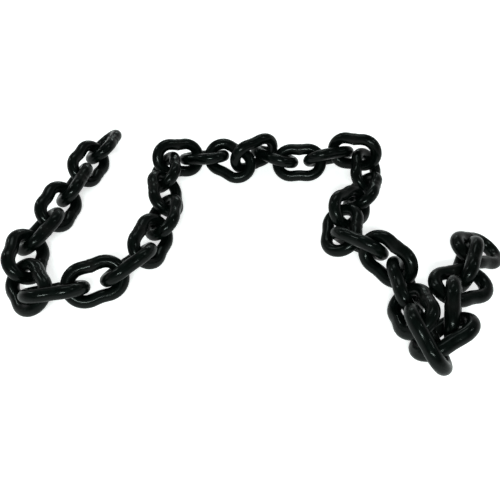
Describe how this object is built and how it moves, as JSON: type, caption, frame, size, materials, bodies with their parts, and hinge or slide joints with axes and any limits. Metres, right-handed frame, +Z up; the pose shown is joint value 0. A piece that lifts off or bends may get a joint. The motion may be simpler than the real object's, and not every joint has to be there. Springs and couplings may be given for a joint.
{
  "type": "short-link lifting chain",
  "caption": "Free length of short-link lifting chain in heavy round bar, lying slack on the floor in a loose wave with folds, both end links free",
  "frame": {"origin": "middle of the laid chain's outer box, on the floor it lies on", "axes": "+X along the longer side of the laid shape, from the end with link_01 to the end with link_36; +Y across it on the floor; +Z up"},
  "size_m": [0.386, 0.2668, 0.0428],
  "materials": {
    "link_steel": "near-black hardened and oiled steel, satin, with thin bright streaks along the round bar"
  },
  "bodies": {
    "link_01": {"link_01": "link_steel"},
    "link_02": {"link_02": "link_steel"},
    "link_03": {"link_03": "link_steel"},
    "link_04": {"link_04": "link_steel"},
    "link_05": {"link_05": "link_steel"},
    "link_06": {"link_06": "link_steel"},
    "link_07": {"link_07": "link_steel"},
    "link_08": {"link_08": "link_steel"},
    "link_09": {"link_09": "link_steel"},
    "link_10": {"link_10": "link_steel"},
    "link_11": {"link_11": "link_steel"},
    "link_12": {"link_12": "link_steel"},
    "link_13": {"link_13": "link_steel"},
    "link_14": {"link_14": "link_steel"},
    "link_15": {"link_15": "link_steel"},
    "link_16": {"link_16": "link_steel"},
    "link_17": {"link_17": "link_steel"},
    "link_18": {"link_18": "link_steel"},
    "link_19": {"link_19": "link_steel"},
    "link_20": {"link_20": "link_steel"},
    "link_21": {"link_21": "link_steel"},
    "link_22": {"link_22": "link_steel"},
    "link_23": {"link_23": "link_steel"},
    "link_24": {"link_24": "link_steel"},
    "link_25": {"link_25": "link_steel"},
    "link_26": {"link_26": "link_steel"},
    "link_27": {"link_27": "link_steel"},
    "link_28": {"link_28": "link_steel"},
    "link_29": {"link_29": "link_steel"},
    "link_30": {"link_30": "link_steel"},
    "link_31": {"link_31": "link_steel"},
    "link_32": {"link_32": "link_steel"},
    "link_33": {"link_33": "link_steel"},
    "link_34": {"link_34": "link_steel"},
    "link_35": {"link_35": "link_steel"},
    "link_36": {"link_36": "link_steel"}
  },
  "joints": [
    {"name": "link_17_swing", "type": "hinge", "parent": "link_18", "child": "link_17", "pos_m": [-0.0186, 0.08218, 0.0164], "axis": [0.0755, 0.0436, -0.9962], "range_deg": [-1.5, 5]},
    {"name": "link_19_swing", "type": "hinge", "parent": "link_18", "child": "link_19", "pos_m": [0.01591, 0.1021, 0.01989], "axis": [-0.0755, -0.0436, 0.9962], "range_deg": [-30, 1]},
    {"name": "link_16_swing", "type": "hinge", "parent": "link_17", "child": "link_16", "pos_m": [-0.031, 0.08391, 0.02096], "axis": [0.514, 0.7603, -0.3971], "range_deg": [-80, 1]},
    {"name": "link_20_swing", "type": "hinge", "parent": "link_19", "child": "link_20", "pos_m": [0.02041, 0.08608, 0.01199], "axis": [0.011, 0.768, 0.6403], "range_deg": [-30, 10]},
    {"name": "link_15_swing", "type": "hinge", "parent": "link_16", "child": "link_15", "pos_m": [-0.05354, 0.09487, 0.01216], "axis": [-0.0503, 0.6094, 0.7912], "range_deg": [-80, 47.5]},
    {"name": "link_21_swing", "type": "hinge", "parent": "link_20", "child": "link_21", "pos_m": [0.0601, 0.0826, 0.01548], "axis": [-0.011, -0.768, -0.6403], "range_deg": [-22.5, 42.5]},
    {"name": "link_14_swing", "type": "hinge", "parent": "link_15", "child": "link_14", "pos_m": [-0.08855, 0.07854, 0.02251], "axis": [0.0503, -0.6094, -0.7912], "range_deg": [-22.5, 7.5]},
    {"name": "link_22_swing", "type": "hinge", "parent": "link_21", "child": "link_22", "pos_m": [0.07196, 0.09444, 0.02113], "axis": [0.0816, -0.2297, -0.9698], "range_deg": [-1, 55]},
    {"name": "link_13_swing", "type": "hinge", "parent": "link_14", "child": "link_13", "pos_m": [-0.08184, 0.06078, 0.01627], "axis": [-0.6857, -0.1835, 0.7044], "range_deg": [-17.5, 80]},
    {"name": "link_23_swing", "type": "hinge", "parent": "link_22", "child": "link_23", "pos_m": [0.10289, 0.08912, 0.01798], "axis": [-0.7738, 0.0231, 0.633], "range_deg": [-2, 35]},
    {"name": "link_12_swing", "type": "hinge", "parent": "link_13", "child": "link_12", "pos_m": [-0.07492, 0.02153, 0.01278], "axis": [0.6857, 0.1835, -0.7044], "range_deg": [-10, 55]},
    {"name": "link_24_swing", "type": "hinge", "parent": "link_23", "child": "link_24", "pos_m": [0.09903, 0.06144, 0.01278], "axis": [0.6855, -0.1839, 0.7044], "range_deg": [-80, 80]},
    {"name": "link_11_swing", "type": "hinge", "parent": "link_12", "child": "link_11", "pos_m": [-0.07841, 0.0051, 0.01458], "axis": [-0.6209, 0.1664, 0.766], "range_deg": [-80, 17.5]},
    {"name": "link_25_swing", "type": "hinge", "parent": "link_24", "child": "link_25", "pos_m": [0.09102, 0.03287, 0.0129], "axis": [0.3706, -0.6294, -0.683], "range_deg": [-55, 70]},
    {"name": "link_10_swing", "type": "hinge", "parent": "link_11", "child": "link_10", "pos_m": [-0.08876, -0.03354, 0.01458], "axis": [0.6209, -0.1664, -0.766], "range_deg": [-62.5, 80]},
    {"name": "link_26_swing", "type": "hinge", "parent": "link_25", "child": "link_26", "pos_m": [0.0637, 0.00555, 0.02325], "axis": [0.3706, -0.6294, -0.683], "range_deg": [-2, 25]},
    {"name": "link_09_swing", "type": "hinge", "parent": "link_10", "child": "link_09", "pos_m": [-0.11189, -0.05148, 0.0118], "axis": [0.3605, -0.6206, 0.6964], "range_deg": [-30, 62.5]},
    {"name": "link_27_swing", "type": "hinge", "parent": "link_26", "child": "link_27", "pos_m": [0.06512, -0.0072, 0.01316], "axis": [0.5555, 0.2557, -0.7912], "range_deg": [-30, 77.5]},
    {"name": "link_08_swing", "type": "hinge", "parent": "link_09", "child": "link_08", "pos_m": [-0.1376, -0.06168, 0.01304], "axis": [-0.3237, 0.6943, 0.6428], "range_deg": [-47.5, 80]},
    {"name": "link_28_roll", "type": "hinge", "parent": "link_27", "child": "link_28", "pos_m": [0.08389, -0.02371, 0.02273], "axis": [0.6403, -0.7631, -0.0872], "range_deg": [-40, 0.5]},
    {"name": "link_07_swing", "type": "hinge", "parent": "link_08", "child": "link_07", "pos_m": [-0.15696, -0.07309, 0.01125], "axis": [0.7094, 0.4967, 0.5], "range_deg": [-5, 10]},
    {"name": "link_29_swing", "type": "hinge", "parent": "link_28", "child": "link_29", "pos_m": [0.10951, -0.05423, 0.01925], "axis": [-0.3745, -0.2111, -0.9029], "range_deg": [-17.5, 32.5]},
    {"name": "link_06_swing", "type": "hinge", "parent": "link_07", "child": "link_06", "pos_m": [-0.1799, -0.04033, 0.01125], "axis": [-0.7094, -0.4967, -0.5], "range_deg": [-77.5, 2.5]},
    {"name": "link_30_swing", "type": "hinge", "parent": "link_29", "child": "link_30", "pos_m": [0.1057, -0.06575, 0.01307], "axis": [0.7071, 0.2418, 0.6645], "range_deg": [-47.5, 80]},
    {"name": "link_05_swing", "type": "hinge", "parent": "link_06", "child": "link_05", "pos_m": [-0.17886, -0.01001, 0.01458], "axis": [-0.6403, -0.056, 0.766], "range_deg": [-52.5, 80]},
    {"name": "link_31_swing", "type": "hinge", "parent": "link_30", "child": "link_31", "pos_m": [0.1057, -0.10334, 0.02675], "axis": [-0.7071, -0.2418, -0.6645], "range_deg": [-2.5, 25]},
    {"name": "link_04_swing", "type": "hinge", "parent": "link_05", "child": "link_04", "pos_m": [-0.16972, 0.00554, 0.01458], "axis": [0.633, -0.1116, -0.766], "range_deg": [-80, 80]},
    {"name": "link_32_roll", "type": "hinge", "parent": "link_31", "child": "link_32", "pos_m": [0.10503, -0.11213, 0.01207], "axis": [0.8517, 0.3971, 0.342], "range_deg": [-30, 1]},
    {"name": "link_03_swing", "type": "hinge", "parent": "link_04", "child": "link_03", "pos_m": [-0.16277, 0.04493, 0.01458], "axis": [-0.633, 0.1116, 0.766], "range_deg": [-80, 12.5]},
    {"name": "link_33_roll", "type": "hinge", "parent": "link_32", "child": "link_33", "pos_m": [0.13026, -0.10267, 0.0116], "axis": [0.1574, 0.8925, 0.4226], "range_deg": [-17.5, 7.5]},
    {"name": "link_02_swing", "type": "hinge", "parent": "link_03", "child": "link_02", "pos_m": [-0.15589, 0.0724, 0.01484], "axis": [-0.6964, 0.1228, -0.7071], "range_deg": [-47.5, 80]},
    {"name": "link_34_swing", "type": "hinge", "parent": "link_33", "child": "link_34", "pos_m": [0.13655, -0.06696, 0.0285], "axis": [-0.4058, -0.3317, 0.8517], "range_deg": [-1, 5]},
    {"name": "link_01_swing", "type": "hinge", "parent": "link_02", "child": "link_01", "pos_m": [-0.14781, 0.10079, 0.01524], "axis": [-0.554, 0.1485, 0.8192], "range_deg": [-80, 35]},
    {"name": "link_35_swing", "type": "hinge", "parent": "link_34", "child": "link_35", "pos_m": [0.14709, -0.06027, 0.01622], "axis": [0.1211, -0.1512, 0.9811], "range_deg": [-22.5, 5]},
    {"name": "link_36_swing", "type": "hinge", "parent": "link_35", "child": "link_36", "pos_m": [0.16393, -0.02416, 0.0197], "axis": [0.1211, -0.1512, 0.9811], "range_deg": [-40, 10]}
  ]
}
